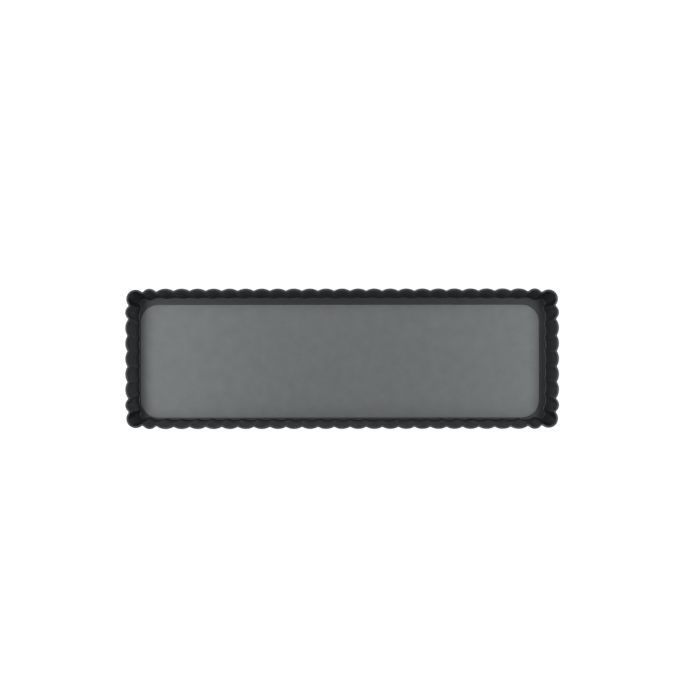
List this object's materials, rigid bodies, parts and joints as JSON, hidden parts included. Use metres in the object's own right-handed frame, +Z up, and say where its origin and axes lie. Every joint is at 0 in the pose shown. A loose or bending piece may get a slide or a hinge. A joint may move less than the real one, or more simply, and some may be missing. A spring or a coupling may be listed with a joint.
{
  "type": "rectangular fluted tart pan",
  "caption": "Long rectangular tart pan: a fluted, leaning ring with a rolled rim and an inward ledge, and a flat loose base that lies on the ledge and is pushed up to free the tart.",
  "frame": {"origin": "centre of the pan's outline, on the underside of the ledge that it stands on", "axes": "+X along the pan's length, +Y across it, +Z up out of the pan"},
  "size_m": [0.355, 0.115, 0.025],
  "materials": {
    "ring_coating": "satin charcoal non-stick coating on sheet steel",
    "base_coating": "matte-satin grey non-stick coating on sheet steel"
  },
  "bodies": {
    "ring": {"fluted_ring": "ring_coating"},
    "base": {"loose_base": "base_coating"}
  },
  "joints": [
    {"name": "base_lift", "type": "slide", "parent": "ring", "child": "base", "axis": [0, 0, 1], "range_m": [0, 0.06]}
  ]
}
